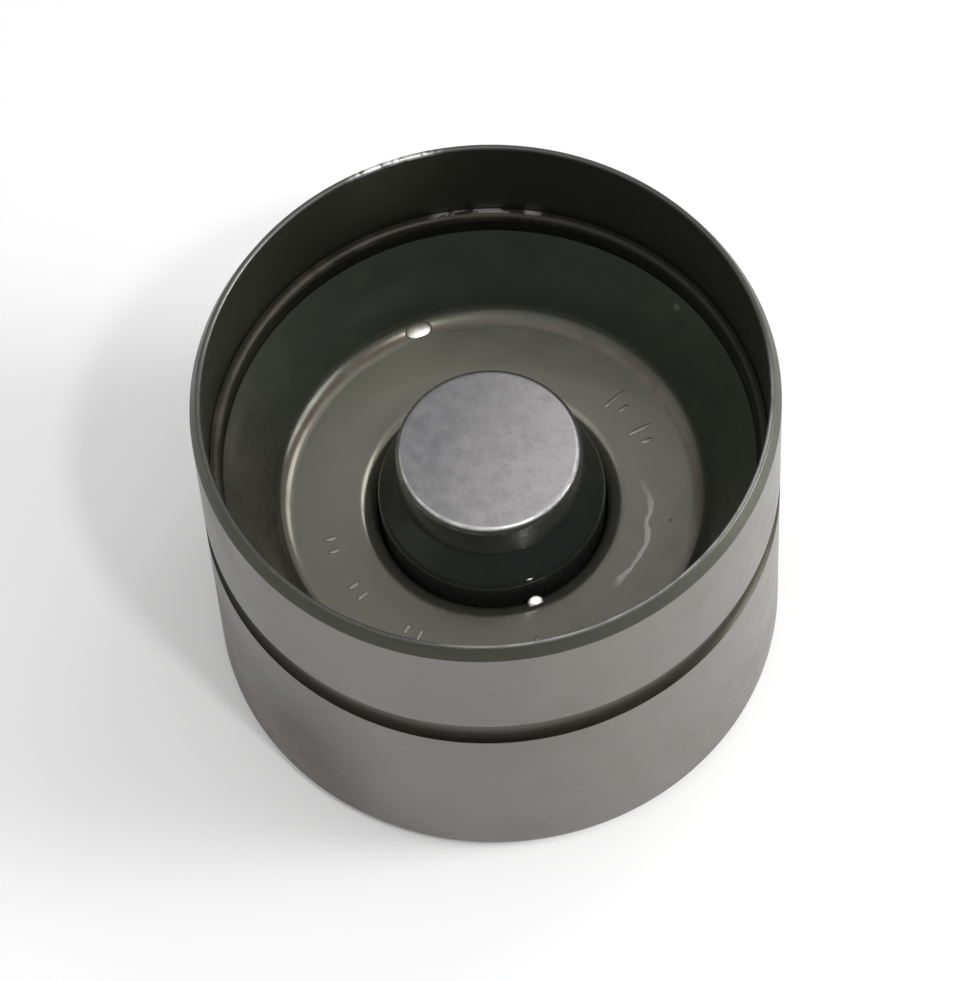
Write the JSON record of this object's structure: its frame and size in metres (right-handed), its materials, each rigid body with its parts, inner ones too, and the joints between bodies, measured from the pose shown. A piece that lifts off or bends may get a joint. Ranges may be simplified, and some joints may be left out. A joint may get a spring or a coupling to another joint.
{
  "type": "hydraulic bucket tappet",
  "caption": "Hydraulic bucket tappet of an overhead-cam engine: a ground steel cup whose pressed insert guides a sprung, self-adjusting inner element.",
  "frame": {"origin": "centre of the crown's outer face, which the cam runs on and which the part stands on here", "axes": "+Z along the tappet's axis, from the cam face to the open end; the oil feed hole faces +Y and the crown's oil pocket lies on the +X side"},
  "size_m": [0.035, 0.035, 0.026],
  "materials": {
    "ground_steel": "satin, ground all round",
    "insert_steel": "dark pressed sheet, lightly oiled",
    "housing_steel": "hardened and dark, with a ground end face",
    "lapped_steel": "lapped bright",
    "cap_steel": "bright pressed sheet",
    "ball_steel": "polished",
    "spring_steel": "drawn wire"
  },
  "bodies": {
    "bucket": {"bucket_shell": "ground_steel", "guide_insert": "insert_steel", "piston": "lapped_steel", "valve_cap": "cap_steel", "return_spring": "spring_steel", "valve_spring": "spring_steel"},
    "housing": {"inner_housing": "housing_steel"},
    "ball": {"check_ball": "ball_steel"}
  },
  "joints": [
    {"name": "housing_slide", "type": "slide", "parent": "bucket", "child": "housing", "axis": [0, 0, 1], "range_m": [-0.0026, 0], "stiffness_N_per_m": 2000, "deforming": ["return_spring"]},
    {"name": "ball_lift", "type": "slide", "parent": "bucket", "child": "ball", "axis": [0, 0, 1], "range_m": [0, 0.0003], "stiffness_N_per_m": 60, "springref_m": -0.0006, "deforming": ["valve_spring"]}
  ]
}
